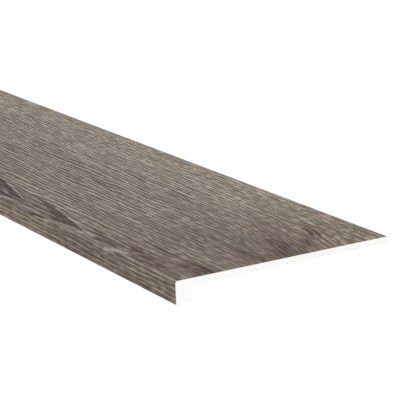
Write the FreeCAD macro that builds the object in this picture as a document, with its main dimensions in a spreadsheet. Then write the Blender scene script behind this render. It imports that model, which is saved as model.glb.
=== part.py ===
import FreeCAD, Part
import math
import os
import Sketcher

# A retrofit stair tread: a board with a dropped nose, which caps the worn tread of an old stair.
# Two pieces are bonded for good. The core board is a white foamed profile, with relief grooves
# along its underside. The decor film is a printed wood-look sheet, bonded over the whole top,
# round the nose and under it, where it ends in a rebate, flush with the bare core.
#
# Millimetres. X is the tread's length, +Y points from the nose to the next riser, and +Z is up.
# The origin is under the middle of the tread, at the height of the nose's foot.

DIMENSIONS = {
    "tread_length": 1194.0,
    "tread_depth": 308.0,
    "board_thickness": 8.0,
    "nose_height": 30.0,
    "nose_thickness": 20.6,
    "film_thickness": 0.5,
    "film_return": 3.0,
    "nose_top_radius": 2.5,
    "nose_foot_radius": 1.5,
    "seat_corner_radius": 1.0,
    "core_edge_radius": 1.0,
    "groove_width": 2.4,
    "groove_depth": 1.0,
    "groove_corner_radius": 0.3,
    "groove_pitch": 50.8,
    "nose_to_first_groove": 34.4,
    "last_groove_to_back": 40.0,
}

# Heights above the nose's foot, and distances back from the nose's face, worked out from the sheet.
UNDERSIDE = "Dimensions.nose_height - Dimensions.board_thickness"
FILM_INSIDE_TOP = "Dimensions.nose_height - Dimensions.film_thickness"
FILM_INSIDE_TOP_RADIUS = "Dimensions.nose_top_radius - Dimensions.film_thickness"
FILM_INSIDE_FOOT_RADIUS = "Dimensions.nose_foot_radius - Dimensions.film_thickness"
FIRST_GROOVE = "Dimensions.nose_thickness + Dimensions.nose_to_first_groove"
GROOVE_COUNT = (
    "floor((Dimensions.tread_depth - Dimensions.nose_thickness - Dimensions.nose_to_first_groove"
    " - Dimensions.last_groove_to_back) / Dimensions.groove_pitch) + 1"
)


def make_sheet(doc):
    """The spreadsheet of driving dimensions: a name in column A, its value in column B."""
    sheet = doc.addObject("Spreadsheet::Sheet", "Dimensions")
    for row, (name, value) in enumerate(DIMENSIONS.items(), start=1):
        sheet.set(f"A{row}", name)
        sheet.set(f"B{row}", str(value))
        sheet.setAlias(f"B{row}", name)
    doc.recompute()
    return sheet


def origin_feature(body, role):
    """One of a body's own origin planes or axes, such as YZ_Plane."""
    for feature in body.Origin.OriginFeatures:
        if feature.Role == role:
            return feature
    raise RuntimeError(f"{body.Label} has no {role}")


def section_sketch(body, sheet, name, corners):
    """A closed outline in the tread's cross-section, with only level and upright sides.

    Each corner is (distance back from the nose's face, height above its foot, radius or None),
    all as expressions of the sheet, in order and counter-clockwise as seen from +X.
    Every side and every radius gets a constraint that is bound to its expression.
    """
    sketch = body.newObject("Sketcher::SketchObject", name)
    sketch.AttachmentSupport = [(origin_feature(body, "YZ_Plane"), "")]
    sketch.MapMode = "FlatFace"

    def value(expression):
        return float(sheet.evalExpression(expression)) if expression else 0.0

    places = [FreeCAD.Vector(value(back), value(height), 0) for back, height, _ in corners]
    radii = [value(radius) for _, _, radius in corners]
    sides = []
    headings = []
    for index, place in enumerate(places):
        following = (index + 1) % len(places)
        heading = (places[following] - place).normalize()
        start = place + heading * radii[index]
        end = places[following] - heading * radii[following]
        sides.append(sketch.addGeometry(Part.LineSegment(start, end)))
        headings.append(heading)

    def bind(kind, arguments, label, expression):
        constraint = sketch.addConstraint(
            Sketcher.Constraint(kind, *arguments, value(expression))
        )
        sketch.renameConstraint(constraint, label)
        sketch.setExpression(f"Constraints.{label}", expression)

    # Where each side lies: on one of the sketch's axes, or at its own distance from the origin.
    for index, (back, height, _) in enumerate(corners):
        side = sides[index]
        upright = back == corners[(index + 1) % len(corners)][0]
        sketch.addConstraint(Sketcher.Constraint("Vertical" if upright else "Horizontal", side))
        expression = back if upright else height
        if expression:
            kind = "DistanceX" if upright else "DistanceY"
            bind(kind, (-1, 1, side, 1), f"side_{index}", expression)
        else:
            axis = -2 if upright else -1
            sketch.addConstraint(Sketcher.Constraint("PointOnObject", side, 1, axis))

    # How each side meets the one before it: at a sharp corner, or through a tangent arc.
    for index, (_, _, radius) in enumerate(corners):
        before, after = sides[index - 1], sides[index]
        if not radius:
            sketch.addConstraint(Sketcher.Constraint("Coincident", before, 2, after, 1))
            continue
        arriving, leaving = headings[index - 1], headings[index]
        centre = places[index] + (leaving - arriving) * radii[index]
        circle = Part.Circle(centre, FreeCAD.Vector(0, 0, 1), radii[index])
        first, last = -leaving, arriving
        outward = arriving.cross(leaving).z > 0
        if not outward:
            first, last = last, first
        arc = sketch.addGeometry(
            Part.ArcOfCircle(circle, math.atan2(first.y, first.x), math.atan2(last.y, last.x))
        )
        near, far = (1, 2) if outward else (2, 1)
        sketch.addConstraint(Sketcher.Constraint("Tangent", before, 2, arc, near))
        sketch.addConstraint(Sketcher.Constraint("Tangent", arc, far, after, 1))
        bind("Radius", (arc,), f"radius_{index}", radius)
    return sketch


def new_body(doc, label):
    """An empty piece, whose cross-section starts at the nose's face and is centred on the origin."""
    body = doc.addObject("PartDesign::Body", label)
    body.Label = label
    body.setExpression("Placement.Base.y", "-Dimensions.tread_depth / 2")
    return body


def along_the_tread(body, kind, name, sketch):
    """A pad or pocket of a section, over the tread's whole length and centred on it."""
    feature = body.newObject(kind, name)
    feature.Profile = sketch
    feature.SideType = "Symmetric"
    feature.setExpression("Length", "Dimensions.tread_length")
    return feature


def make_core_board(doc, sheet):
    """The white foamed profile: the flat board, the dropped nose and the grooves below."""
    body = new_body(doc, "core_board")
    outline = section_sketch(
        body,
        sheet,
        "core_section",
        [
            ("Dimensions.film_return", None, None),
            ("Dimensions.nose_thickness", None, "Dimensions.core_edge_radius"),
            ("Dimensions.nose_thickness", UNDERSIDE, "Dimensions.seat_corner_radius"),
            ("Dimensions.tread_depth", UNDERSIDE, "Dimensions.core_edge_radius"),
            ("Dimensions.tread_depth", FILM_INSIDE_TOP, None),
            ("Dimensions.film_thickness", FILM_INSIDE_TOP, FILM_INSIDE_TOP_RADIUS),
            ("Dimensions.film_thickness", "Dimensions.film_thickness", FILM_INSIDE_FOOT_RADIUS),
            ("Dimensions.film_return", "Dimensions.film_thickness", None),
        ],
    )
    along_the_tread(body, "PartDesign::Pad", "core_profile", outline)
    doc.recompute()

    crown = f"{UNDERSIDE} + Dimensions.groove_depth"
    near_side = f"{FIRST_GROOVE} - Dimensions.groove_width / 2"
    far_side = f"{FIRST_GROOVE} + Dimensions.groove_width / 2"
    groove = section_sketch(
        body,
        sheet,
        "groove_section",
        [
            (near_side, UNDERSIDE, None),
            (far_side, UNDERSIDE, None),
            (far_side, crown, "Dimensions.groove_corner_radius"),
            (near_side, crown, "Dimensions.groove_corner_radius"),
        ],
    )
    first_groove = along_the_tread(body, "PartDesign::Pocket", "first_groove", groove)
    doc.recompute()

    grooves = body.newObject("PartDesign::LinearPattern", "relief_grooves")
    grooves.Originals = [first_groove]
    grooves.Direction = (origin_feature(body, "Y_Axis"), [""])
    grooves.Mode = "Spacing"
    grooves.setExpression("Offset", "Dimensions.groove_pitch")
    grooves.setExpression("Occurrences", GROOVE_COUNT)
    body.Tip = grooves
    return body


def make_decor_film(doc, sheet):
    """The printed sheet, of one thickness all the way: over the top, round the nose and under it."""
    body = new_body(doc, "decor_film")
    outline = section_sketch(
        body,
        sheet,
        "film_section",
        [
            (None, None, "Dimensions.nose_foot_radius"),
            ("Dimensions.film_return", None, None),
            ("Dimensions.film_return", "Dimensions.film_thickness", None),
            ("Dimensions.film_thickness", "Dimensions.film_thickness", FILM_INSIDE_FOOT_RADIUS),
            ("Dimensions.film_thickness", FILM_INSIDE_TOP, FILM_INSIDE_TOP_RADIUS),
            ("Dimensions.tread_depth", FILM_INSIDE_TOP, None),
            ("Dimensions.tread_depth", "Dimensions.nose_height", None),
            (None, "Dimensions.nose_height", "Dimensions.nose_top_radius"),
        ],
    )
    along_the_tread(body, "PartDesign::Pad", "film_profile", outline)
    return body


def check_document(doc, pieces):
    """Stops the script if a feature failed, or a piece isn't one sound solid."""
    for item in doc.Objects:
        if "Invalid" in item.State or "Error" in item.State:
            raise RuntimeError(f"{item.Label} failed: {item.State}")
    for piece in pieces:
        shape = piece.Shape
        if shape.isNull() or not shape.isValid() or len(shape.Solids) != 1:
            raise RuntimeError(f"{piece.Label} isn't one valid solid")


def check_grooves(sheet, core):
    """Stops the script if the grooves took no material away from the plain profile."""
    plain = core.Document.getObject("core_profile").Shape.Volume
    corners = (4 - math.pi) / 2 * sheet.groove_corner_radius**2
    section = sheet.groove_width * sheet.groove_depth - corners
    count = int(sheet.evalExpression(GROOVE_COUNT))
    removed = count * section * sheet.tread_length
    if not math.isclose(plain - core.Shape.Volume, removed, rel_tol=0.01):
        raise RuntimeError(f"the {count} relief grooves aren't all cut")


def write_pieces(pieces):
    """Writes each piece to its own STEP file, named after its label."""
    os.makedirs("parts", exist_ok=True)
    for piece in pieces:
        piece.Shape.exportStep(f"parts/{piece.Label}.step")
        box = piece.Shape.BoundBox
        print(
            f"{piece.Label}: {piece.Shape.Volume / 1000:.1f} cm3,"
            f" {box.XLength:.2f} x {box.YLength:.2f} x {box.ZLength:.2f} mm"
        )


def main():
    doc = FreeCAD.newDocument("stair_tread")
    sheet = make_sheet(doc)
    core = make_core_board(doc, sheet)
    film = make_decor_film(doc, sheet)
    doc.recompute()
    pieces = [core, film]
    check_document(doc, pieces)
    check_grooves(sheet, core)
    write_pieces(pieces)


main()
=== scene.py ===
import math
from collections import namedtuple

import bmesh
import bpy
from bpy.props import FloatProperty, FloatVectorProperty, IntProperty, PointerProperty
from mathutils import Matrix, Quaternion, Vector, noise


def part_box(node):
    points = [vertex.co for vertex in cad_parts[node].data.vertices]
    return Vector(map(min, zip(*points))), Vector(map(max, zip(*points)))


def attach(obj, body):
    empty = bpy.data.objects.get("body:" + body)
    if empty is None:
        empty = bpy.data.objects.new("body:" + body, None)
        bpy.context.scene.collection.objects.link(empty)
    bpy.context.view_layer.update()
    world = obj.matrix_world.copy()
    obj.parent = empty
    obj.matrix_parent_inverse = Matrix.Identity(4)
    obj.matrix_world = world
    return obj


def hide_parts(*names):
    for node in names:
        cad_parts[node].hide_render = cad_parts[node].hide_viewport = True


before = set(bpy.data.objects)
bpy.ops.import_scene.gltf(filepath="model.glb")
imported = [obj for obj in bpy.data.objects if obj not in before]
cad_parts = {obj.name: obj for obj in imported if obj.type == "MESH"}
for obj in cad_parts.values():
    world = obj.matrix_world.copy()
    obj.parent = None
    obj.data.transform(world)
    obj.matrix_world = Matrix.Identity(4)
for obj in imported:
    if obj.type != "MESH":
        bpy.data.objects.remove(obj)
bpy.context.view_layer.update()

# A retrofit stair tread: a white foamed core, and a printed wood-look film bonded over its top,
# round its nose and under it. X is the tread's length, +Y points from the nose to the next riser,
# and +Z is up. Everything is in metres. Places on the print are given from the tread's right-hand
# front corner: x is negative to the left, and y is the distance back from the nose's upper edge,
# as the film lies, so it is negative down the nose.

bl_info = {
    "name": "Stair Tread",
    "version": (1, 0, 0),
    "blender": (4, 5, 0),
    "location": "View3D > Sidebar > Tread",
    "description": "A retrofit stair tread: a foamed core wrapped in a printed wood-look film",
    "category": "Add Mesh",
}

FILM_LOW, FILM_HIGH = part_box("decor_film")
CORE_LOW, CORE_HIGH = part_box("core_board")
LENGTH = FILM_HIGH.x - FILM_LOW.x
DEPTH = FILM_HIGH.y - FILM_LOW.y
HEIGHT = FILM_HIGH.z - FILM_LOW.z
FILM_THICKNESS = FILM_HIGH.z - CORE_HIGH.z
FRONT = FILM_LOW.y
BACK = FILM_HIGH.y
RIGHT_END = FILM_HIGH.x


def srgb(red, green, blue):
    """A colour as it reads on a screen, from 0 to 255, in the linear values that Blender mixes."""
    shares = [value / 255 for value in (red, green, blue)]
    return tuple(s / 12.92 if s <= 0.04045 else ((s + 0.055) / 1.055) ** 2.4 for s in shares)


class TreadSection(bpy.types.PropertyGroup):
    """Sizes across the tread that its outside box doesn't give."""

    board_thickness: FloatProperty(
        name="Board thickness", description="Flat board, film included",
        default=0.008, unit="LENGTH")
    nose_thickness: FloatProperty(
        name="Nose thickness", description="From the nose's face to its back",
        default=0.0206, unit="LENGTH")
    film_return: FloatProperty(
        name="Film return", description="How far back under the nose the film reaches",
        default=0.003, unit="LENGTH")
    nose_top_radius: FloatProperty(
        name="Nose top radius", description="Outside of the film, where the top turns down",
        default=0.0025, unit="LENGTH")
    nose_foot_radius: FloatProperty(
        name="Nose foot radius", description="Outside of the film, where it turns under the nose",
        default=0.0015, unit="LENGTH")
    seat_corner_radius: FloatProperty(
        name="Seat corner radius", description="Inside corner, behind the nose",
        default=0.001, unit="LENGTH")
    core_edge_radius: FloatProperty(
        name="Core edge radius", description="Bare edges of the foamed core",
        default=0.001, unit="LENGTH")
    groove_width: FloatProperty(
        name="Groove width", description="Relief grooves along the underside",
        default=0.0024, unit="LENGTH")
    groove_depth: FloatProperty(
        name="Groove depth", description="Relief grooves along the underside",
        default=0.0010, unit="LENGTH")
    groove_corner_radius: FloatProperty(
        name="Groove corner radius", description="Upper corners of a groove",
        default=0.0003, unit="LENGTH")
    groove_pitch: FloatProperty(
        name="Groove pitch", description="From one groove's middle to the next",
        default=0.0508, unit="LENGTH")
    nose_to_first_groove: FloatProperty(
        name="Nose to first groove", description="From the nose's back to the first middle",
        default=0.0344, unit="LENGTH")
    groove_count: IntProperty(
        name="Grooves", description="Number of relief grooves", default=5, min=0)


class FilmPrint(bpy.types.PropertyGroup):
    """The printed wood: its colours, and the scale of its grain."""

    ground: FloatVectorProperty(
        name="Ground", description="The weathered greige between the grain lines",
        default=srgb(105, 90, 75), subtype="COLOR", min=0, max=1)
    ground_cool: FloatVectorProperty(
        name="Cool ground", description="The ground where it drifts to grey",
        default=srgb(104, 91, 77), subtype="COLOR", min=0, max=1)
    lime: FloatVectorProperty(
        name="Lime", description="The pale lines and filled pores",
        default=srgb(217, 207, 196), subtype="COLOR", min=0, max=1)
    late_wood: FloatVectorProperty(
        name="Late wood", description="The dark lines between the pale ones",
        default=srgb(65, 51, 42), subtype="COLOR", min=0, max=1)
    dusk: FloatVectorProperty(
        name="Dusk", description="The greyish purple ground around the dark flames",
        default=srgb(113, 97, 90), subtype="COLOR", min=0, max=1)
    # Also the colour of the painted shade just below the nose's upper edge.
    heart: FloatVectorProperty(
        name="Heart", description="The dark flames near the nose, and a few thin dark lines",
        default=srgb(64, 42, 35), subtype="COLOR", min=0, max=1)
    rust: FloatVectorProperty(
        name="Rust", description="Patches where the wood turns reddish",
        default=srgb(112, 88, 76), subtype="COLOR", min=0, max=1)
    knot: FloatVectorProperty(
        name="Knot", description="The reddish dark shade at the right-hand end",
        default=srgb(76, 53, 45), subtype="COLOR", min=0, max=1)
    # Also the colour of the painted highlight along the nose's rounded upper edge.
    frost: FloatVectorProperty(
        name="Frost", description="The pale, cold tips beyond the dark flames",
        default=srgb(185, 177, 170), subtype="COLOR", min=0, max=1)
    line_spacing: FloatProperty(
        name="Line spacing", description="Across the grain, from one grain line to the next",
        default=0.0063, unit="LENGTH")
    line_length: FloatProperty(
        name="Line length", description="How long a grain line runs before it fades",
        default=0.070, unit="LENGTH")
    pore_length: FloatProperty(
        name="Pore length", description="Along the grain, from one filled pore to the next",
        default=0.0240, unit="LENGTH")
    pore_spacing: FloatProperty(
        name="Pore spacing", description="Across the grain, from one filled pore to the next",
        default=0.0034, unit="LENGTH")
    saw_pitch: FloatProperty(
        name="Saw pitch", description="Between faint saw marks, at the right-hand front corner",
        default=0.0052, unit="LENGTH")


class StageLook(bpy.types.PropertyGroup):
    """The floor and the light."""

    floor: FloatVectorProperty(
        name="Floor", description="Colour of the floor under the tread",
        default=(1.0, 1.0, 1.0), subtype="COLOR", min=0, max=1)
    shadow_share: FloatProperty(
        name="Shadow", description="How much of the tread's shadow the floor shows",
        default=0.09, subtype="FACTOR", min=0, max=1)
    sky: FloatProperty(
        name="Sky", description="Strength of the even light from all round",
        default=0.65, min=0)
    key_power: FloatProperty(
        name="Key lamp", description="Soft lamp beyond the right-hand end",
        default=36.0, unit="POWER", min=0)
    top_power: FloatProperty(
        name="Top lamp", description="Soft lamp above the tread",
        default=15.0, unit="POWER", min=0)


# Outlines across the tread

# How far back the film's mesh is finer, to carry the dark flames.
FLAME_REACH = 0.080


class Pen:
    """Draws an outline in a plane across the tread, one straight or round stretch at a time."""

    def __init__(self, mesh, x, y, z):
        self.mesh = mesh
        self.tip = mesh.verts.new((x, y, z))
        self.drawn = [self.tip]

    def _sweep(self, steps, **move):
        known = set(self.mesh.verts)
        swept = bmesh.ops.spin(
            self.mesh, geom=[self.tip], axis=(1, 0, 0), steps=steps, use_duplicate=False, **move)
        self.drawn += [vertex for vertex in self.mesh.verts if vertex not in known]
        self.tip = next(g for g in swept["geom_last"] if isinstance(g, bmesh.types.BMVert))

    def line(self, back, up, steps=1):
        """A straight stretch that goes that far back (+Y) and up (+Z)."""
        self._sweep(steps, cent=(0, 0, 0), angle=0.0, dvec=(0, back / steps, up / steps))

    def bend(self, centre_back, centre_up, degrees, steps):
        """A round stretch about a centre, placed from the pen's tip. It turns +Y towards +Z."""
        centre = self.tip.co + Vector((0, centre_back, centre_up))
        self._sweep(steps, cent=centre, angle=math.radians(degrees), dvec=(0, 0, 0))


def draw_film_side(mesh, section, x, depth_in_film, steps):
    """One side of the film's outline, from its end under the nose to the rear edge.

    depth_in_film is 0 for the printed face and the film's thickness for the bonded one. steps
    gives the number of stretches under the nose, round the foot, up, round the top, over the
    flames and on to the rear edge.
    """
    under, foot, face, brow, flames, rest = steps
    foot_radius = section.nose_foot_radius - depth_in_film
    top_radius = section.nose_top_radius - depth_in_film
    pen = Pen(mesh, x, FRONT + section.film_return, FILM_LOW.z + depth_in_film)
    pen.line(section.nose_foot_radius - section.film_return, 0, under)
    pen.bend(0, foot_radius, -90, foot)
    pen.line(0, HEIGHT - section.nose_foot_radius - section.nose_top_radius, face)
    pen.bend(top_radius, 0, -90, brow)
    pen.line(FLAME_REACH - section.nose_top_radius, 0, flames)
    pen.line(DEPTH - FLAME_REACH, 0, rest)
    return pen.drawn


def draw_core_outline(mesh, section, x, steps):
    """The foamed core's closed outline, with a groove for each relief cut along the underside."""
    edge = section.core_edge_radius
    seat = section.seat_corner_radius
    corner = section.groove_corner_radius
    width, depth = section.groove_width, section.groove_depth
    underside = HEIGHT - section.board_thickness
    inside_foot = section.nose_foot_radius - FILM_THICKNESS
    inside_top = section.nose_top_radius - FILM_THICKNESS
    pen = Pen(mesh, x, FRONT + section.film_return, FILM_LOW.z)
    pen.line(section.nose_thickness - section.film_return - edge, 0)
    pen.bend(0, edge, 90, steps)
    pen.line(0, underside - edge - seat)
    pen.bend(seat, 0, -90, steps)
    reached = section.nose_thickness + seat
    for index in range(section.groove_count):
        middle = (
            section.nose_thickness + section.nose_to_first_groove + index * section.groove_pitch
        )
        pen.line(middle - width / 2 - reached, 0)
        pen.line(0, depth - corner)
        pen.bend(corner, 0, -90, steps)
        pen.line(width - 2 * corner, 0)
        pen.bend(0, -corner, -90, steps)
        pen.line(0, corner - depth)
        reached = middle + width / 2
    pen.line(DEPTH - edge - reached, 0)
    pen.bend(0, edge, 90, steps)
    pen.line(0, section.board_thickness - edge - FILM_THICKNESS)
    pen.line(section.nose_top_radius - DEPTH, 0)
    pen.bend(0, -inside_top, 90, steps)
    pen.line(0, section.nose_foot_radius + section.nose_top_radius - HEIGHT)
    pen.bend(inside_foot, 0, 90, steps)
    pen.line(section.film_return - section.nose_foot_radius, 0)
    pen.line(0, -FILM_THICKNESS)
    bmesh.ops.remove_doubles(mesh, verts=mesh.verts[:], dist=FILM_THICKNESS / 100)


# The printed wood, laid out over the film

# The flames of the growth rings: the fibre they lie on, their height over the log's heart at the
# right-hand end, and how that height changes along the tread.
FLAME_AXIS = 0.008
FLAME_HEIGHT_AT_END = 0.070
FLAME_SLOPE = 0.042

# The turn of the fibres near the right-hand end: how far they shift, where the shift starts and
# would be full, and the middle and half the width of the band that shifts.
END_SHIFT = 0.036
END_SHIFT_START = -0.16
END_SHIFT_FULL = 0.06
END_SHIFT_MIDDLE = 0.195
END_SHIFT_HALF = 0.066

# The fibres' slow sway and their quick one: how far, over what length and width, and a seed.
SWAYS = ((0.0045, 0.26, 0.060, 1.5), (0.0014, 0.075, 0.020, 7.5))

# The pattern opens just behind the nose: by what share, and how soon that wears off.
FRONT_OPENING = 0.34
FRONT_OPENING_REACH = 0.070

# The nose's own print: where its rings start, how much finer its pattern is, how much closer its
# grain lines are than the top's, and half the width of the change at the upper edge.
NOSE_RING_OFFSET = -0.060
NOSE_FINENESS = 1.8
NOSE_LINES = 1.03
EDGE_BLEND = 0.002

# A dark flame: the length over which its dark core opens, how much further the core reaches at
# its back, how wide its thin outline and its soft edge are, how blunt it is (1 is a straight
# wedge), and the share of its length where it starts to fade.
FLAME_CORE_END = 0.050
FLAME_CORE_SLANT = 0.45
FLAME_OUTLINE = 0.0022
FLAME_SOFT_EDGE = 0.0012
FLAME_TAPER = 0.88
FLAME_FADE = 0.6

# The pale rim round a flame's tip: where it starts and is full, as shares of the flame's half
# width outside it, and the shares of the flame's length where the rim is full and is gone.
RIM_START = 0.34
RIM_FULL = 0.06
RIM_FULL_ALONG = 0.10
RIM_GONE_ALONG = 0.60

# The flames begin at the nose's upper edge, between these places.
FLAMES_START = -0.006
FLAMES_FULL = 0.001

# The dark flames along the nose's upper edge: where each one's tip is, how far it reaches to the
# left, how far it spreads back and forward over that length, how long it is dark all through, and
# how dark it is.
Flame = namedtuple("Flame", "tip_x tip_y length back front core strength")
FLAMES = (
    Flame(-1.020, 0.014, 0.260, 0.046, 0.020, 0.080, 0.80),
    Flame(-0.820, 0.012, 0.220, 0.038, 0.018, 0.060, 0.90),
    Flame(-0.640, 0.013, 0.200, 0.034, 0.016, 0.045, 0.75),
    Flame(-0.424, 0.010, 0.280, 0.062, 0.044, 0.092, 1.00),
    Flame(-0.249, 0.008, 0.235, 0.039, 0.022, 0.065, 1.00),
    Flame(-0.156, 0.010, 0.140, 0.024, 0.018, 0.040, 0.38),
)

# The kinds of figure, in the order that their colours are laid: the strengths at which a kind
# starts to show and is full, how much of its colour shows then, and how much of the pale grain it
# hides.
Figure = namedtuple("Figure", "kind start full share hides")
FIGURES = (
    Figure("dusk", 0.05, 0.60, 0.75, 0.38),
    Figure("rust", 0.10, 0.60, 0.70, 0.30),
    Figure("knot", 0.05, 0.60, 0.92, 0.45),
    Figure("heart", 0.12, 0.62, 0.94, 0.94),
    Figure("frost", 0.10, 0.55, 0.85, 0.0),
)

# Each mark is its kind, its strength, and the points of its middle line: x, y and half its width.
MARKS = (
    ("heart", 0.90, ((-0.530, 0.024, 0.010), (-0.480, 0.018, 0.012), (-0.448, 0.014, 0.010))),
    ("dusk", 0.90, ((-0.640, 0.050, 0.020), (-0.560, 0.034, 0.024), (-0.440, 0.020, 0.020),
                    (-0.340, 0.014, 0.014), (-0.250, 0.012, 0.012), (-0.140, 0.010, 0.008))),
    ("dusk", 0.70, ((-1.180, 0.030, 0.030), (-1.000, 0.036, 0.034), (-0.820, 0.026, 0.026),
                    (-0.700, 0.024, 0.018))),
    ("dusk", 0.60, ((-0.150, 0.160, 0.030), (-0.060, 0.170, 0.050), (0.010, 0.170, 0.060))),
    ("rust", 1.20, ((-0.160, 0.028, 0.008), (-0.126, 0.024, 0.018), (-0.088, 0.016, 0.017),
                    (-0.046, 0.012, 0.008))),
    ("knot", 0.48, ((-0.154, 0.027, 0.012), (-0.122, 0.023, 0.022), (-0.086, 0.016, 0.020),
                    (-0.056, 0.012, 0.010))),
    ("heart", 0.65, ((-0.480, -0.003, 0.0018), (-0.437, -0.002, 0.0018), (-0.390, -0.005, 0.0018),
                     (-0.343, 0.000, 0.0020), (-0.300, 0.004, 0.0022))),
    ("heart", 0.40, ((-0.267, 0.029, 0.0015), (-0.211, 0.021, 0.0022), (-0.167, 0.014, 0.0018))),
    ("frost", 0.60, ((-0.512, 0.016, 0.003), (-0.498, 0.015, 0.006), (-0.484, 0.013, 0.003))),
    ("frost", 0.66, ((-0.258, 0.004, 0.004), (-0.242, 0.009, 0.008), (-0.226, 0.009, 0.006))),
    ("frost", 0.85, ((-0.176, -0.002, 0.003), (-0.154, 0.003, 0.006), (-0.134, 0.008, 0.004))),
    ("heart", 0.75, ((-0.160, 0.052, 0.002), (-0.090, 0.050, 0.003), (-0.045, 0.053, 0.005),
                     (0.004, 0.055, 0.006))),
    ("heart", 0.75, ((-0.420, 0.210, 0.0014), (-0.360, 0.207, 0.0022), (-0.310, 0.200, 0.0022),
                     (-0.262, 0.186, 0.0012))),
    ("knot", 0.84, ((-0.074, 0.178, 0.012), (-0.040, 0.180, 0.024), (0.006, 0.166, 0.040))),
    ("knot", 0.66, ((-0.105, 0.250, 0.008), (-0.074, 0.246, 0.017), (-0.048, 0.226, 0.020),
                    (-0.026, 0.204, 0.014))),
    ("knot", 0.55, ((-0.056, 0.122, 0.012), (0.006, 0.134, 0.026))),
    ("knot", 0.55, ((-0.070, 0.030, 0.012), (-0.020, 0.044, 0.024), (0.006, 0.050, 0.032))),
    ("rust", 0.90, ((-0.130, 0.200, 0.030), (-0.060, 0.200, 0.060), (0.008, 0.176, 0.070))),
    ("rust", 0.70, ((-0.060, 0.112, 0.020), (0.006, 0.118, 0.030))),
    ("rust", 0.80, ((-0.090, 0.030, 0.016), (-0.020, 0.046, 0.032), (0.006, 0.050, 0.040))),
    ("rust", 0.40, ((-0.530, -0.004, 0.008), (-0.496, -0.005, 0.008), (-0.470, -0.005, 0.004))),
    ("rust", 0.55, ((-0.625, 0.151, 0.006), (-0.598, 0.149, 0.008), (-0.580, 0.148, 0.005))),
    ("rust", 0.50, ((-0.325, 0.246, 0.005), (-0.300, 0.244, 0.007), (-0.290, 0.243, 0.004))),
    ("rust", 0.50, ((-0.295, 0.181, 0.005), (-0.275, 0.179, 0.007), (-0.262, 0.178, 0.004))),
    # A painted highlight: a pale line along the nose's rounded upper edge, over the whole length.
    ("frost", 0.44, ((-1.200, 0.0012, 0.0030), (0.010, 0.0012, 0.0030))),
    # A painted shade: a dark line just below that edge, down the nose's face, over the whole length.
    ("heart", 0.26, ((-1.200, -0.0040, 0.0024), (0.010, -0.0040, 0.0024))),
)


def smooth_step(value, low, high):
    """From 0 at low to 1 at high, with soft ends."""
    share = min(max((value - low) / (high - low), 0.0), 1.0)
    return share * share * (3 - 2 * share)


def wander(x, y, length, width, seed):
    """A soft random value from -1 to 1, stretched along the grain."""
    return noise.noise(Vector((x / length, y / width, seed)))


def along_fibre(x, laid):
    """Where a point of the film lies across the wood's fibres. Equal values lie on one fibre.

    x is measured from the right-hand end, and laid from the nose's upper edge: it is positive
    over the top and negative down the nose. Close to the right-hand end, the fibres of the back
    half turn towards the nose.
    """
    near_end = smooth_step(x, END_SHIFT_START, END_SHIFT_FULL)
    shift = near_end * END_SHIFT * math.exp(-((laid - END_SHIFT_MIDDLE) / END_SHIFT_HALF) ** 2)
    sway = sum(
        reach * wander(x, laid, length, width, seed) for reach, length, width, seed in SWAYS)
    return laid + shift + sway


def line_place(fibre):
    """Where a fibre lies in the pattern, which is finer on the nose and more open just behind it."""
    if fibre < 0:
        return fibre * NOSE_FINENESS
    opening = 1 - math.exp(-fibre / FRONT_OPENING_REACH)
    return fibre - FRONT_OPENING * FRONT_OPENING_REACH * opening


def ring_of(x, laid, fibre):
    """How far a point lies from the log's heart. Equal values lie on one growth ring.

    The board is cut slightly askew to the log, so near FLAME_AXIS the rings close in long flames
    that point to the right. Further back they run along the fibres. The nose has rings of its own.
    """
    height = FLAME_HEIGHT_AT_END + FLAME_SLOPE * x
    top = math.hypot(fibre - FLAME_AXIS, height)
    on_top = smooth_step(laid, -EDGE_BLEND, EDGE_BLEND)
    return top * on_top + (NOSE_RING_OFFSET + fibre * NOSE_FINENESS) * (1 - on_top)


def mark_strength(x, back, route):
    """From 1 on a mark's middle line to 0 at its edge and beyond."""
    best = 0.0
    for (x0, y0, half0), (x1, y1, half1) in zip(route, route[1:]):
        run, rise = x1 - x0, y1 - y0
        share = ((x - x0) * run + (back - y0) * rise) / (run * run + rise * rise)
        share = min(max(share, 0.0), 1.0)
        half = half0 + (half1 - half0) * share
        gap = math.hypot(x - x0 - run * share, back - y0 - rise * share)
        best = max(best, 1 - gap / half)
    return best


def flame_strength(x, back, flame):
    """How dark a flame is at a point, how dusky, and how strong its pale rim is, from 0 to 1.

    A flame widens from its tip to the left. It is dark all through near the tip. Further left only
    a thin outline stays dark, round a dusky middle.
    """
    reach = flame.tip_x - x
    share = reach / flame.length
    if not 0 < share < 1:
        return 0.0, 0.0, 0.0
    gap = back - flame.tip_y
    half = (flame.back if gap > 0 else flame.front) * share**FLAME_TAPER
    depth = half - abs(gap)
    fade = flame.strength * smooth_step(share, 1.0, FLAME_FADE)
    if depth < 0:
        near_tip = smooth_step(share, RIM_GONE_ALONG, RIM_FULL_ALONG)
        rim = smooth_step(depth, -RIM_START * half, -RIM_FULL * half)
        return 0.0, 0.0, fade * near_tip * rim
    slant = FLAME_CORE_SLANT * gap / half
    opened = smooth_step(reach * (1 - slant), flame.core, flame.core + FLAME_CORE_END)
    outline = half + (FLAME_OUTLINE - half) * opened
    inner = smooth_step(depth, outline, outline + FLAME_OUTLINE) if opened > 0 else 0.0
    edge = smooth_step(depth, 0.0, FLAME_SOFT_EDGE)
    return fade * edge * (1 - inner), fade * edge * inner, 0.0


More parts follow.
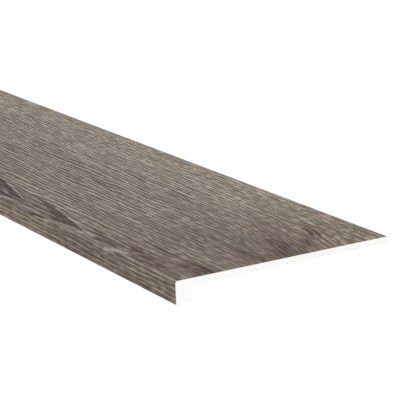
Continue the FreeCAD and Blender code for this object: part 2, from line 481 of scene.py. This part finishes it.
def lay_out_print(mesh, laid_layer, face_layer):
    """Stores, on every vertex of the printed face, its place in the grain and its marks."""
    grain = mesh.verts.layers.float_vector.new("grain")
    ring = mesh.verts.layers.float.new("ring")
    kinds = {figure.kind: mesh.verts.layers.float.new(figure.kind) for figure in FIGURES}
    reaches = [
        (min(p[0] - p[2] for p in route), max(p[0] + p[2] for p in route)) for *_, route in MARKS
    ]
    for vertex in mesh.verts:
        if vertex[face_layer] < 0.5:
            continue
        x = vertex.co.x - RIGHT_END
        laid = vertex[laid_layer]
        fibre = along_fibre(x, laid)
        vertex[grain] = (x, line_place(fibre), laid)
        vertex[ring] = ring_of(x, laid, fibre)
        found = [
            (kind, strength * mark_strength(x, laid, route))
            for (kind, strength, route), (left, right) in zip(MARKS, reaches)
            if left <= x <= right
        ]
        on_top = smooth_step(laid, FLAMES_START, FLAMES_FULL)
        for flame in FLAMES:
            strengths = flame_strength(x, fibre, flame)
            found += zip(("heart", "dusk", "frost"), (strength * on_top for strength in strengths))
        for kind, strength in found:
            vertex[kinds[kind]] = max(vertex[kinds[kind]], strength)


# Materials

class Finish:
    """A material under construction: adds nodes, and joins or sets their inputs."""

    def __init__(self, name):
        self.material = bpy.data.materials.new(name)
        self.material.use_nodes = True
        self.tree = self.material.node_tree
        self.tree.nodes.clear()

    def put(self, socket, value):
        """Joins an output to an input, or sets the input to a plain value."""
        if isinstance(value, bpy.types.NodeSocket):
            self.tree.links.new(value, socket)
        else:
            socket.default_value = value

    def node(self, kind, *values, inputs=None, **settings):
        """A node with its settings, and its inputs in order, or by name or number."""
        node = self.tree.nodes.new(kind)
        for setting, value in settings.items():
            setattr(node, setting, value)
        for key, value in [*enumerate(values), *(inputs or {}).items()]:
            self.put(node.inputs[key], value)
        return node

    def add(self, kind, *values, out=0, inputs=None, **settings):
        """A node as above; gives one of its outputs."""
        return self.node(kind, *values, inputs=inputs, **settings).outputs[out]

    def attribute(self, name, out):
        """A value stored on the mesh."""
        return self.add("ShaderNodeAttribute", out=out, attribute_name=name)

    def on_object(self):
        """Coordinates on the object."""
        return self.add("ShaderNodeTexCoord", out="Object")

    def math(self, operation, *values):
        """One sum of arithmetic."""
        return self.add("ShaderNodeMath", *values, operation=operation)

    def chain(self, operation, first, *others):
        """The same sum over several values, one after the other."""
        for other in others:
            first = self.math(operation, first, other)
        return first

    def between(self, value, low, high, to_low=0.0, to_high=1.0):
        """Takes low..high to to_low..to_high, with soft ends and nothing beyond."""
        return self.add(
            "ShaderNodeMapRange",
            inputs={"Value": value, "From Min": low, "From Max": high,
                    "To Min": to_low, "To Max": to_high},
            interpolation_type="SMOOTHSTEP")

    def streaks(self, where, length, width, seed, detail=2.0, roughness=0.5):
        """Soft random marks of about that length and width, from 0 to 1."""
        scaled = self.add(
            "ShaderNodeVectorMath", where, (1 / length, 1 / width, 0.0), (0.0, 0.0, seed),
            operation="MULTIPLY_ADD")
        return self.add(
            "ShaderNodeTexNoise",
            inputs={"Vector": scaled, "Scale": 1.0, "Detail": detail, "Roughness": roughness},
            noise_dimensions="3D")

    def dashes(self, where, length, width):
        """Short marks side by side along the grain, each strong or faint by chance, from 0 to 1."""
        scaled = self.add(
            "ShaderNodeVectorMath", where, (1 / length, 1 / width, 0.0), operation="MULTIPLY")
        cells = self.node(
            "ShaderNodeTexVoronoi", inputs={"Vector": scaled, "Scale": 1.0, "Randomness": 1.0},
            voronoi_dimensions="2D").outputs
        chance = self.add("ShaderNodeSeparateColor", cells["Color"])
        return self.math(
            "MULTIPLY", self.between(cells["Distance"], 0.50, 0.15), self.between(chance, 0.0, 0.9))

    def tint(self, share, colour, other):
        """From one colour to another by a share from 0 to 1."""
        colours = [
            value if isinstance(value, bpy.types.NodeSocket) else (*value, 1.0)
            for value in (colour, other)
        ]
        return self.add(
            "ShaderNodeMix", inputs={0: share, 6: colours[0], 7: colours[1]}, out=2,
            data_type="RGBA")

    def surface(self, colour, roughness, height=None, bump_distance=0.0, specular=0.35):
        """Ends the material in a Principled shader, with an optional bump."""
        inputs = {"Base Color": colour, "Roughness": roughness, "Specular IOR Level": specular}
        if height is not None:
            inputs["Normal"] = self.add(
                "ShaderNodeBump", inputs={"Height": height, "Distance": bump_distance})
        self.end_in(self.add("ShaderNodeBsdfPrincipled", inputs=inputs))

    def end_in(self, shader):
        """Joins a shader to the material's output."""
        self.node("ShaderNodeOutputMaterial", shader)


# The print's streaks, in the order they are laid: the colour, how much of it, whether they follow
# the grain or the growth rings, their length and width, the noise values where they start and are
# full, the noise's detail, and a seed.
Layer = namedtuple("Layer", "colour share follows length width start full detail seed")
LAYERS = (
    Layer("late_wood", 0.15, "rings", 0.140, 0.0130, 0.50, 0.34, 2.0, 61.0),
    Layer("lime", 0.08, "rings", 0.120, 0.0150, 0.50, 0.68, 2.0, 67.0),
    Layer("late_wood", 0.26, "grain", 0.060, 0.0019, 0.47, 0.36, 1.5, 33.0),
    Layer("lime", 0.22, "grain", 0.050, 0.0018, 0.54, 0.66, 1.5, 37.0),
    Layer("late_wood", 0.52, "grain", 0.120, 0.0034, 0.34, 0.28, 1.0, 71.0),
    Layer("lime", 0.55, "grain", 0.080, 0.0024, 0.67, 0.73, 1.0, 73.0),
)

# Ways in which the print changes over the film: along it, from the right-hand end, or across it as
# laid, from the nose's upper edge. Each gives the way, where the change starts and ends, and the
# values before it and after it.
Change = namedtuple("Change", "way start end before after")

# How strong the streaks and the bands are, and how calm the lines and the saw marks get.
STREAK_SHARE = Change("laid", -0.003, 0.008, 0.50, 0.84)
CALM_AT_END = Change("along", -0.30, -0.06, 1.0, 0.34)
CALM_AT_BACK = Change("laid", 0.15, 0.29, 1.0, 0.62)

# How light the print is: on the nose, at the upper edge, where it comes from the nose's own value,
# and on the top's front, as an addition, and back.
NOSE_TONE = Change("along", -0.38, -0.27, 1.16, 0.945)
EDGE_TONE = Change("laid", -0.004, 0.002, None, 0.80)
FRONT_TONE = Change("laid", 0.0, 0.12, 0.0, 0.11)
BACK_TONE = Change("laid", 0.14, 0.32, 1.0, 1.34)

# The grain lines: how close they are against the rest of the pattern, how far they bend, how thin
# the pale ones are, and how strong the lines are along the tread, on the nose and on the top. The
# last is how strong the filled pores are.
LINE_CLOSENESS = Change("laid", -EDGE_BLEND, EDGE_BLEND, NOSE_LINES / NOSE_FINENESS, 1.0)
LINE_BEND = Change("laid", -0.004, 0.004, 10.0, 11.0)
LINE_THINNESS = Change("laid", -0.003, 0.008, 0.56, 0.20)
LINE_SHARE = Change("along", -0.42, -0.20, 1.12, 0.80)
NOSE_LINE_SHARE = Change("laid", -0.003, 0.008, 0.70, 0.0)
NOSE_LINE_DRIFT = Change("along", -0.50, -0.08, 0.86, 1.0)
TOP_LINE_SHARE = Change("laid", -0.003, 0.008, 0.0, 1.0)
DARK_LINE_SHARE = Change("laid", -0.003, 0.008, 0.30, 1.0)
PORE_SHARE = Change("laid", -0.003, 0.008, 0.46, 0.55)

# The saw marks: their slant, how they fan out along the top and towards its back, and how far they
# wobble. They leave at least the largest of four shares of a pale line, and show as a faint hatch.
SAW_SLANT = 0.318
SAW_FAN_ALONG = 0.13
SAW_FAN_BACK = -0.57
SAW_WOBBLE = 15.0
SAWN_LEAST = (
    Change("laid", -0.006, 0.010, 0.48, 0.22),
    Change("along", -0.30, -0.08, 0.22, 0.45),
    Change("along", -0.90, -0.60, 0.40, 0.22),
    Change("laid", 0.14, 0.30, 0.22, 0.55),
)
HATCH_ON_TOP = Change("laid", 0.0, 0.05, 0.0, 0.15)
HATCH_ALONG = Change("along", -0.90, -0.60, 0.40, 1.0)

# How far a figure's edges are broken by the grain, how much the specks show in two kinds of
# figure, and how deep the brushed lines are.
RAGGEDNESS = 1.8
SPECKS_IN_HEART = 0.16
SPECKS_IN_FROST = 0.50
BRUSHED_DEPTH = 0.0001


class Place:
    """Where a point of the film lies, read from the mesh as coordinates for the patterns.

    grain follows the fibres and rings the growth rings. lines is like grain, but spaced for the
    grain lines, and across is the place across them. along and laid say where the point is.
    """

    def __init__(self, finish):
        self.finish = finish
        self.grain = finish.attribute("grain", "Vector")
        self.along, fibre, self.laid = finish.node("ShaderNodeSeparateXYZ", self.grain).outputs
        ring = finish.attribute("ring", "Fac")
        self.rings = finish.add("ShaderNodeCombineXYZ", self.along, ring)
        self.across = finish.math("MULTIPLY", fibre, self.over(LINE_CLOSENESS))
        self.lines = finish.add("ShaderNodeCombineXYZ", self.along, self.across)

    def over(self, change):
        """A value that changes over the film."""
        way, *numbers = change
        return self.finish.between(getattr(self, way), *numbers)


def figure_shares(finish, place):
    """How much of each kind of figure shows, its edges broken along the grain."""
    ragged = finish.streaks(place.grain, length=0.030, width=0.0045, seed=55.0, detail=2.5)
    ragged = finish.math("MULTIPLY", finish.math("SUBTRACT", ragged, 0.5), RAGGEDNESS)
    shares = {}
    for figure in FIGURES:
        strength = finish.attribute(figure.kind, "Fac")
        broken = finish.math("MULTIPLY_ADD", ragged, strength, strength)
        shares[figure.kind] = finish.between(broken, figure.start, figure.full, 0.0, figure.share)
    return shares


def open_wood(finish, shares):
    """How much of the pale grain shows, because the figure hides the rest."""
    left = [
        finish.math("SUBTRACT", 1.0, finish.math("MULTIPLY", shares[figure.kind], figure.hides))
        for figure in FIGURES if figure.hides
    ]
    return finish.chain("MULTIPLY", *left)


def broad_tone(finish, place, streak_share):
    """How light the print is: bands that follow the growth rings, on a front darker than the back."""
    bands = finish.streaks(
        place.rings, length=0.20, width=0.026, seed=11.0, detail=3.0, roughness=0.6)
    band_tone = finish.math("SUBTRACT", finish.between(bands, 0.30, 0.70, 0.87, 1.11), 1.0)
    band_tone = finish.math("MULTIPLY_ADD", band_tone, streak_share, 1.0)
    edge_tone = place.over(EDGE_TONE._replace(before=place.over(NOSE_TONE)))
    front_tone = finish.math("ADD", edge_tone, place.over(FRONT_TONE))
    return finish.chain("MULTIPLY", front_tone, place.over(BACK_TONE), band_tone)


def grain_lines(finish, look, place, calm):
    """Evenly spaced lines along the fibres, bent a little, and strong or faint in stretches.

    Gives how strong the pale lines are, how strong the dark ones between them are, and the noise
    that the stretches come from.
    """
    bend = finish.streaks(place.lines, length=0.11, width=0.016, seed=17.0, detail=1.0)
    bend = finish.math("MULTIPLY", bend, place.over(LINE_BEND))
    turns = finish.math("MULTIPLY_ADD", place.across, 2 * math.pi / look.line_spacing, bend)
    wave = finish.math("SINE", turns)
    stretch = finish.streaks(
        place.lines, look.line_length, look.line_spacing * 0.9, seed=21.0, detail=2.5,
        roughness=0.6)
    share = finish.math("MULTIPLY", place.over(LINE_SHARE), calm)
    nose_share = finish.math("MULTIPLY", place.over(NOSE_LINE_SHARE), place.over(NOSE_LINE_DRIFT))
    top_share = finish.math("MULTIPLY", share, place.over(TOP_LINE_SHARE))
    pale = finish.chain(
        "MULTIPLY", finish.between(wave, place.over(LINE_THINNESS), 0.95),
        finish.between(stretch, 0.36, 0.60, 0.30, 1.0),
        finish.math("MAXIMUM", top_share, nose_share))
    dark = finish.chain(
        "MULTIPLY", finish.between(wave, 0.0, -0.9),
        finish.between(stretch, 0.30, 0.62, 0.68, 0.36), share, place.over(DARK_LINE_SHARE))
    return pale, dark, stretch


def saw_marks(finish, look, place, calm):
    """Fine slanting marks across the grain.

    Gives how much they leave of a pale line or pore, and how strong their own hatch is.
    """
    fan = finish.math("MULTIPLY_ADD", place.along, SAW_FAN_ALONG, 1.0)
    fan = finish.math("MULTIPLY_ADD", place.laid, SAW_FAN_BACK, fan)
    slant = finish.math("MULTIPLY", place.laid, SAW_SLANT)
    across = finish.math("MULTIPLY_ADD", place.along, fan, slant)
    wobble = finish.streaks(place.grain, length=0.040, width=0.014, seed=29.0, detail=1.0)
    wobble = finish.math("MULTIPLY", wobble, SAW_WOBBLE)
    turns = finish.math("MULTIPLY_ADD", across, 2 * math.pi / look.saw_pitch, wobble)
    wave = finish.math("SINE", turns)
    least = finish.chain("MAXIMUM", *[place.over(change) for change in SAWN_LEAST])
    hatch = finish.chain(
        "MULTIPLY", finish.between(wave, 0.0, 0.9), place.over(HATCH_ON_TOP), calm,
        place.over(HATCH_ALONG))
    return finish.between(wave, -0.8, 0.8, least, 1.0), hatch


def printed_wood(look):
    """The film's printed face: limed oak grain, dark flames, and a lightly brushed surface."""
    finish = Finish("printed_wood")
    place = Place(finish)
    streak_share = place.over(STREAK_SHARE)
    calm = finish.math("MULTIPLY", place.over(CALM_AT_END), place.over(CALM_AT_BACK))
    shares = figure_shares(finish, place)
    pale_lines, dark_lines, stretch = grain_lines(finish, look, place, calm)
    sawn, hatch = saw_marks(finish, look, place, calm)

    # The ground drifts between two tones in long soft patches, under the figure.
    drift = finish.streaks(place.grain, length=0.12, width=0.035, seed=3.0)
    colour = finish.tint(finish.between(drift, 0.35, 0.65), look.ground, look.ground_cool)
    for figure in FIGURES:
        colour = finish.tint(shares[figure.kind], colour, getattr(look, figure.kind))

    # Streaks and dark lines.
    for layer in LAYERS:
        where = getattr(place, layer.follows)
        marks = finish.streaks(where, layer.length, layer.width, layer.seed, layer.detail)
        share = finish.between(marks, layer.start, layer.full, 0.0, layer.share)
        share = finish.math("MULTIPLY", share, streak_share)
        colour = finish.tint(share, colour, getattr(look, layer.colour))
    colour = finish.tint(dark_lines, colour, look.late_wood)

    # Pale lines, saw marks and filled pores, which show less inside the figure, and pale specks.
    shown = open_wood(finish, shares)
    pores = finish.dashes(place.grain, look.pore_length, look.pore_spacing)
    for marks in ((pale_lines, sawn), (hatch,), (pores, sawn, place.over(PORE_SHARE))):
        colour = finish.tint(finish.chain("MULTIPLY", *marks, shown), colour, look.lime)
    specks = finish.streaks(place.grain, length=0.0080, width=0.0022, seed=91.0)
    specked = finish.math(
        "MAXIMUM", finish.math("MULTIPLY", shares["heart"], SPECKS_IN_HEART),
        finish.math("MULTIPLY", shares["frost"], SPECKS_IN_FROST))
    specks = finish.math("MULTIPLY", finish.between(specks, 0.50, 0.68), specked)
    colour = finish.tint(specks, colour, look.frost)
    tone = broad_tone(finish, place, streak_share)
    colour = finish.add("ShaderNodeVectorMath", colour, inputs={"Scale": tone}, operation="SCALE")

    # The brushed relief: dark lines lie lower than the ground.
    height = finish.math("SUBTRACT", 1.0, dark_lines)
    rough = finish.between(stretch, 0.3, 0.7, 0.60, 0.70)
    finish.surface(colour, rough, height, BRUSHED_DEPTH, specular=0.1)
    return finish.material


# The unprinted surfaces: the two tones of each, and how many cells the foam has and how deep.
FILM_BASE = (srgb(214, 209, 202), srgb(232, 228, 222))
# The groove walls' two tones are painted shade: a dark grey that stands in for the shade inside the
# narrow grooves.
GROOVE_PAINTED_SHADE = (srgb(40, 38, 36), srgb(62, 60, 57))
FOAM = ((0.89, 0.89, 0.88), (0.915, 0.915, 0.905))
CELLS_PER_METRE = 1400.0
CELL_DEPTH = 0.00008


def film_edge():
    """The film's cut edges and bonded side: its pale vinyl base, a little streaky from the blade."""
    finish = Finish("film_edge")
    streak = finish.streaks(finish.on_object(), length=0.012, width=0.012, seed=2.0)
    finish.surface(finish.tint(streak, *FILM_BASE), roughness=0.6)
    return finish.material


def groove_cut():
    """The walls of the relief grooves: painted shade, a dark grey that stands in for the shade inside
    them.
    """
    finish = Finish("groove_cut")
    streak = finish.streaks(finish.on_object(), length=0.020, width=0.002, seed=9.0)
    finish.surface(finish.tint(streak, *GROOVE_PAINTED_SHADE), roughness=0.8, specular=0.2)
    return finish.material


def foamed_board():
    """The white closed-cell foam: fine cells in relief and soft cloudy tones all over it."""
    finish = Finish("foamed_board")
    where = finish.on_object()
    cells = finish.add(
        "ShaderNodeTexVoronoi", inputs={"Vector": where, "Scale": CELLS_PER_METRE},
        voronoi_dimensions="3D")
    clouds = finish.streaks(where, length=0.05, width=0.05, seed=5.0)
    rough = finish.between(clouds, 0.3, 0.7, 0.5, 0.6)
    finish.surface(finish.tint(clouds, *FOAM), rough, cells, CELL_DEPTH)
    return finish.material


# Pieces

# Stretches round the film's outline, as draw_film_side takes them, columns along the tread, and
# stretches in each of the core's rounded corners.
FILM_STEPS = (2, 4, 26, 5, 78, 114)
FILM_COLUMNS = 410
CORE_ARC_STEPS = 6


def to_object(mesh, name, materials):
    """A finished bmesh as an object at the origin."""
    data = bpy.data.meshes.new(name)
    mesh.to_mesh(data)
    mesh.free()
    for material in materials:
        data.materials.append(material)
    piece = bpy.data.objects.new(name, data)
    bpy.context.scene.collection.objects.link(piece)
    return piece


def draw_out(mesh):
    """Makes a solid of a cross-section at the left-hand end, over the whole length."""
    swept = bmesh.ops.extrude_face_region(mesh, geom=mesh.faces[:], use_keep_orig=True)
    moved = [g for g in swept["geom"] if isinstance(g, bmesh.types.BMVert)]
    bmesh.ops.translate(mesh, verts=moved, vec=(LENGTH, 0, 0))
    bmesh.ops.recalc_face_normals(mesh, faces=mesh.faces[:])


def length_edges(mesh):
    """The edges that run along the whole tread."""
    return [e for e in mesh.edges if abs(e.verts[0].co.x - e.verts[1].co.x) > LENGTH / 2]


def mark_grooves(mesh, section):
    """Gives the walls of the relief grooves the core's second material, which paints shade on them.
    """
    slack = FILM_THICKNESS / 10
    low = FILM_LOW.z + HEIGHT - section.board_thickness + slack
    high = low + section.groove_depth
    first = FRONT + section.nose_thickness + section.seat_corner_radius
    last = BACK - section.core_edge_radius
    for polygon in mesh.faces:
        middle = polygon.calc_center_median()
        within = low < middle.z < high and first < middle.y < last
        if within and abs(polygon.normal.x) < 0.5:
            polygon.material_index = 1


class TREAD_OT_foamed_core(bpy.types.Operator):
    """Make the white foamed core, with its dropped nose and grooved underside"""

    bl_idname = "tread.foamed_core"
    bl_label = "Foamed core"

    def execute(self, context):
        mesh = bmesh.new()
        draw_core_outline(mesh, context.scene.tread_section, CORE_LOW.x, CORE_ARC_STEPS)
        bmesh.ops.contextual_create(mesh, geom=mesh.edges[:])
        draw_out(mesh)
        mark_grooves(mesh, context.scene.tread_section)
        piece = to_object(mesh, "foamed_core", [foamed_board(), groove_cut()])
        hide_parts("core_board")
        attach(piece, "root")
        return {"FINISHED"}


class TREAD_OT_printed_film(bpy.types.Operator):
    """Make the printed film over the top, round the nose and under it"""

    bl_idname = "tread.printed_film"
    bl_label = "Printed film"

    def execute(self, context):
        section = context.scene.tread_section
        mesh = bmesh.new()
        laid = mesh.verts.layers.float.new("laid")
        face = mesh.verts.layers.float.new("printed_face")
        outer = draw_film_side(mesh, section, FILM_LOW.x, 0.0, FILM_STEPS)
        place = DEPTH
        for vertex, ahead in zip(reversed(outer), [None, *reversed(outer)]):
            if ahead is not None:
                place -= (vertex.co - ahead.co).length
            vertex[laid] = place
            vertex[face] = 1.0
        draw_film_side(mesh, section, FILM_LOW.x, FILM_THICKNESS, FILM_STEPS)
        bmesh.ops.bridge_loops(mesh, edges=mesh.edges[:])
        draw_out(mesh)
        printed = [e for e in length_edges(mesh) if all(v[face] > 0.5 for v in e.verts)]
        bmesh.ops.subdivide_edges(
            mesh, edges=printed, cuts=FILM_COLUMNS - 1, use_grid_fill=True)
        for polygon in mesh.faces:
            on_face = all(v[face] > 0.5 for v in polygon.verts)
            polygon.smooth = on_face
            polygon.material_index = 0 if on_face else 1
        lay_out_print(mesh, laid, face)
        wood = printed_wood(context.scene.tread_print)
        piece = to_object(mesh, "printed_film", [wood, film_edge()])
        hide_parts("decor_film")
        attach(piece, "root")
        return {"FINISHED"}


# The stage

CAMERA_PLACE = (2.319855, -1.140127, 0.671975)
CAMERA_AIM = (0.306847, 0.055266, 0.030)
CAMERA_ROLL = -1.740
CAMERA_LENS = 160.39
CAMERA_CLIP = (0.05, 100.0)
SENSOR_WIDTH = 36.0
FLOOR_SIZE = 14.0

# With this glow and its share of the real shading, the floor comes out white in the camera's view.
FLOOR_GLOW = 1.045

# A soft square lamp: its place, the point that it is turned to, and its size.
Lamp = namedtuple("Lamp", "place aim size")
KEY_LAMP = Lamp((3.6, -0.9, 0.95), (0.5, 0, 0), 1.6)
TOP_LAMP = Lamp((0.0, 0.4, 3.0), (0, 0, 0), 2.4)


def make_floor(look):
    """A wide plain floor. The camera sees it nearly white, with a share of the real shadow."""
    mesh = bmesh.new()
    bmesh.ops.create_grid(mesh, x_segments=1, y_segments=1, size=FLOOR_SIZE / 2)
    finish = Finish("floor")
    shaded = finish.add("ShaderNodeBsdfDiffuse", (*look.floor, 1.0))
    glow = finish.add("ShaderNodeEmission", (*look.floor, 1.0), FLOOR_GLOW)
    rays = finish.node("ShaderNodeLightPath").outputs
    seen = finish.chain(
        "MAXIMUM", rays["Is Camera Ray"], rays["Is Glossy Ray"], rays["Is Transmission Ray"])
    share = finish.math("MULTIPLY", seen, 1 - look.shadow_share)
    mixed = finish.add("ShaderNodeMixShader", share, shaded, glow)
    below = finish.add("ShaderNodeNewGeometry", out="Backfacing")
    clear = finish.add("ShaderNodeBsdfTransparent")
    finish.end_in(finish.add("ShaderNodeMixShader", below, mixed, clear))
    floor = to_object(mesh, "floor", [finish.material])


def light_world(look):
    """An even white light from all round, which the camera sees as plain white."""
    world = bpy.data.worlds.new("studio")
    world.use_nodes = True
    nodes, links = world.node_tree.nodes, world.node_tree.links
    background = nodes["Background"]
    background.inputs["Color"].default_value = (1.0, 1.0, 1.0, 1.0)
    rays = nodes.new("ShaderNodeLightPath")
    seen = nodes.new("ShaderNodeMath")
    seen.operation = "MAXIMUM"
    links.new(rays.outputs["Is Camera Ray"], seen.inputs[0])
    links.new(rays.outputs["Is Glossy Ray"], seen.inputs[1])
    strength = nodes.new("ShaderNodeMapRange")
    strength.inputs["To Min"].default_value = look.sky
    links.new(seen.outputs[0], strength.inputs["Value"])
    links.new(strength.outputs[0], background.inputs["Strength"])
    bpy.context.scene.world = world


def set_up(name, data, place, aim, roll=0.0):
    """Puts a lamp or the camera in its place, turned to a point and rolled by some degrees."""
    holder = bpy.data.objects.new(name, data)
    holder.location = place
    holder.rotation_mode = "QUATERNION"
    level = (Vector(aim) - Vector(place)).to_track_quat("-Z", "Y")
    holder.rotation_quaternion = level @ Quaternion((0, 0, 1), math.radians(roll))
    bpy.context.scene.collection.objects.link(holder)
    return holder


def add_lamp(name, lamp, power):
    """A soft square lamp."""
    light = bpy.data.lights.new(name, "AREA")
    light.shape = "SQUARE"
    light.size = lamp.size
    light.energy = power
    set_up(name, light, lamp.place, lamp.aim)


def place_camera():
    """The photograph's view: a long lens, from beyond the right-hand end."""
    camera = bpy.data.cameras.new("camera")
    camera.sensor_width = SENSOR_WIDTH
    camera.lens = CAMERA_LENS
    camera.clip_start, camera.clip_end = CAMERA_CLIP
    bpy.context.scene.camera = set_up("camera", camera, CAMERA_PLACE, CAMERA_AIM, CAMERA_ROLL)


class TREAD_OT_stage(bpy.types.Operator):
    """Make the floor, the light and the camera"""

    bl_idname = "tread.stage"
    bl_label = "Floor, light and camera"

    def execute(self, context):
        look = context.scene.tread_stage
        make_floor(look)
        light_world(look)
        add_lamp("key_lamp", KEY_LAMP, look.key_power)
        add_lamp("top_lamp", TOP_LAMP, look.top_power)
        place_camera()
        context.scene.view_settings.view_transform = "Standard"
        return {"FINISHED"}


class TREAD_PT_sidebar(bpy.types.Panel):
    """The tread's sizes, colours and pieces"""

    bl_label = "Stair tread"
    bl_space_type = "VIEW_3D"
    bl_region_type = "UI"
    bl_category = "Tread"

    def draw(self, context):
        layout = self.layout
        scene = context.scene
        groups = (
            ("Section", scene.tread_section, TREAD_OT_foamed_core),
            ("Print", scene.tread_print, TREAD_OT_printed_film),
            ("Stage", scene.tread_stage, TREAD_OT_stage),
        )
        for title, group, operator in groups:
            box = layout.box()
            box.label(text=title)
            for name in group.__annotations__:
                box.prop(group, name)
            box.operator(operator.bl_idname)


CLASSES = (
    TreadSection,
    FilmPrint,
    StageLook,
    TREAD_OT_foamed_core,
    TREAD_OT_printed_film,
    TREAD_OT_stage,
    TREAD_PT_sidebar,
)


def register():
    for item in CLASSES:
        bpy.utils.register_class(item)
    bpy.types.Scene.tread_section = PointerProperty(type=TreadSection)
    bpy.types.Scene.tread_print = PointerProperty(type=FilmPrint)
    bpy.types.Scene.tread_stage = PointerProperty(type=StageLook)


def unregister():
    del bpy.types.Scene.tread_stage
    del bpy.types.Scene.tread_print
    del bpy.types.Scene.tread_section
    for item in reversed(CLASSES):
        bpy.utils.unregister_class(item)


def main():
    register()
    bpy.ops.tread.foamed_core()
    bpy.ops.tread.printed_film()
    bpy.ops.tread.stage()


if __name__ == "__main__":
    main()
